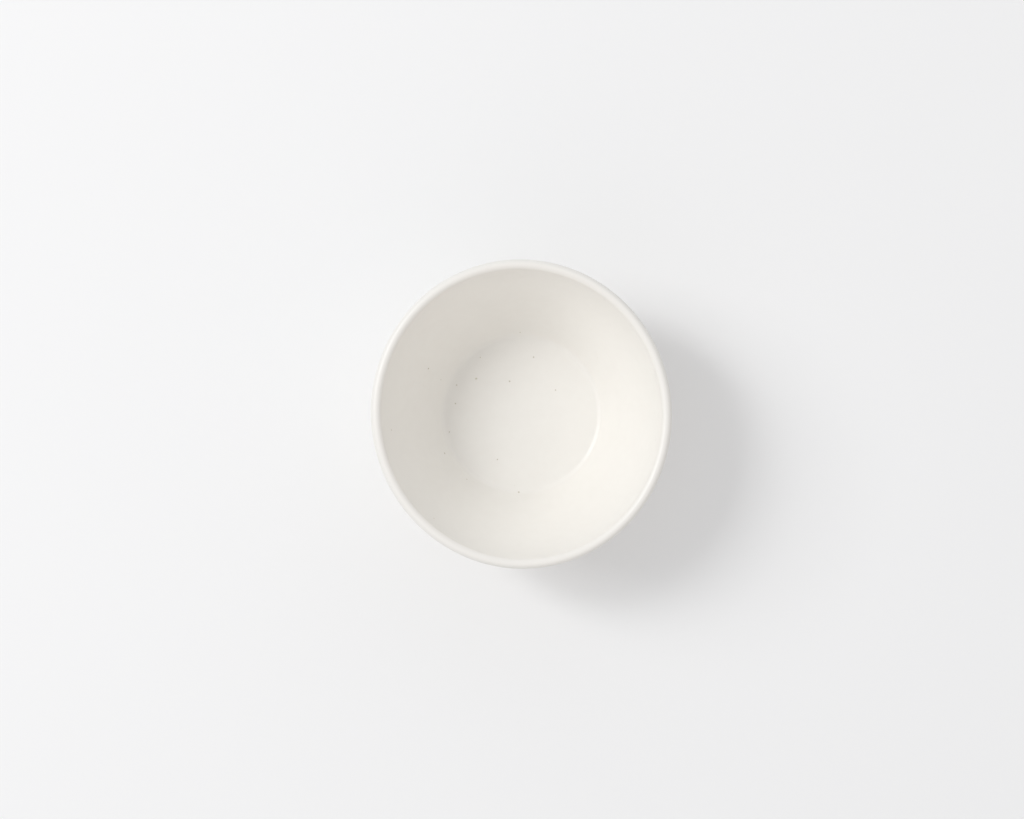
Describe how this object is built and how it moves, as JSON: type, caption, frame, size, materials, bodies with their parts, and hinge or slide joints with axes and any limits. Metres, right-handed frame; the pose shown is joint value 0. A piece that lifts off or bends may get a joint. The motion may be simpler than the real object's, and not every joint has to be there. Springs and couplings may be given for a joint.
{
  "type": "breakfast bowl",
  "caption": "Round stoneware breakfast bowl with a flat floor, steep bowed walls, a full round lip and a bare foot ring, glazed satin warm white with fine iron specks.",
  "frame": {"origin": "on the table, under the middle of the bowl, in the plane of the foot ring's resting face", "axes": "+Z up out of the bowl's mouth, along the axis it is turned about; +Y is up and +X is right in the picture, which looks straight down"},
  "size_m": [0.138, 0.1418, 0.068],
  "materials": {
    "stoneware": "bare fired clay, matte, fine grained",
    "white_glaze": "satin warm white glaze with fine brown iron specks"
  },
  "bodies": {
    "root": {"stoneware_body": "stoneware", "bowl_glaze": "white_glaze", "underside_glaze": "white_glaze"}
  },
  "joints": []
}
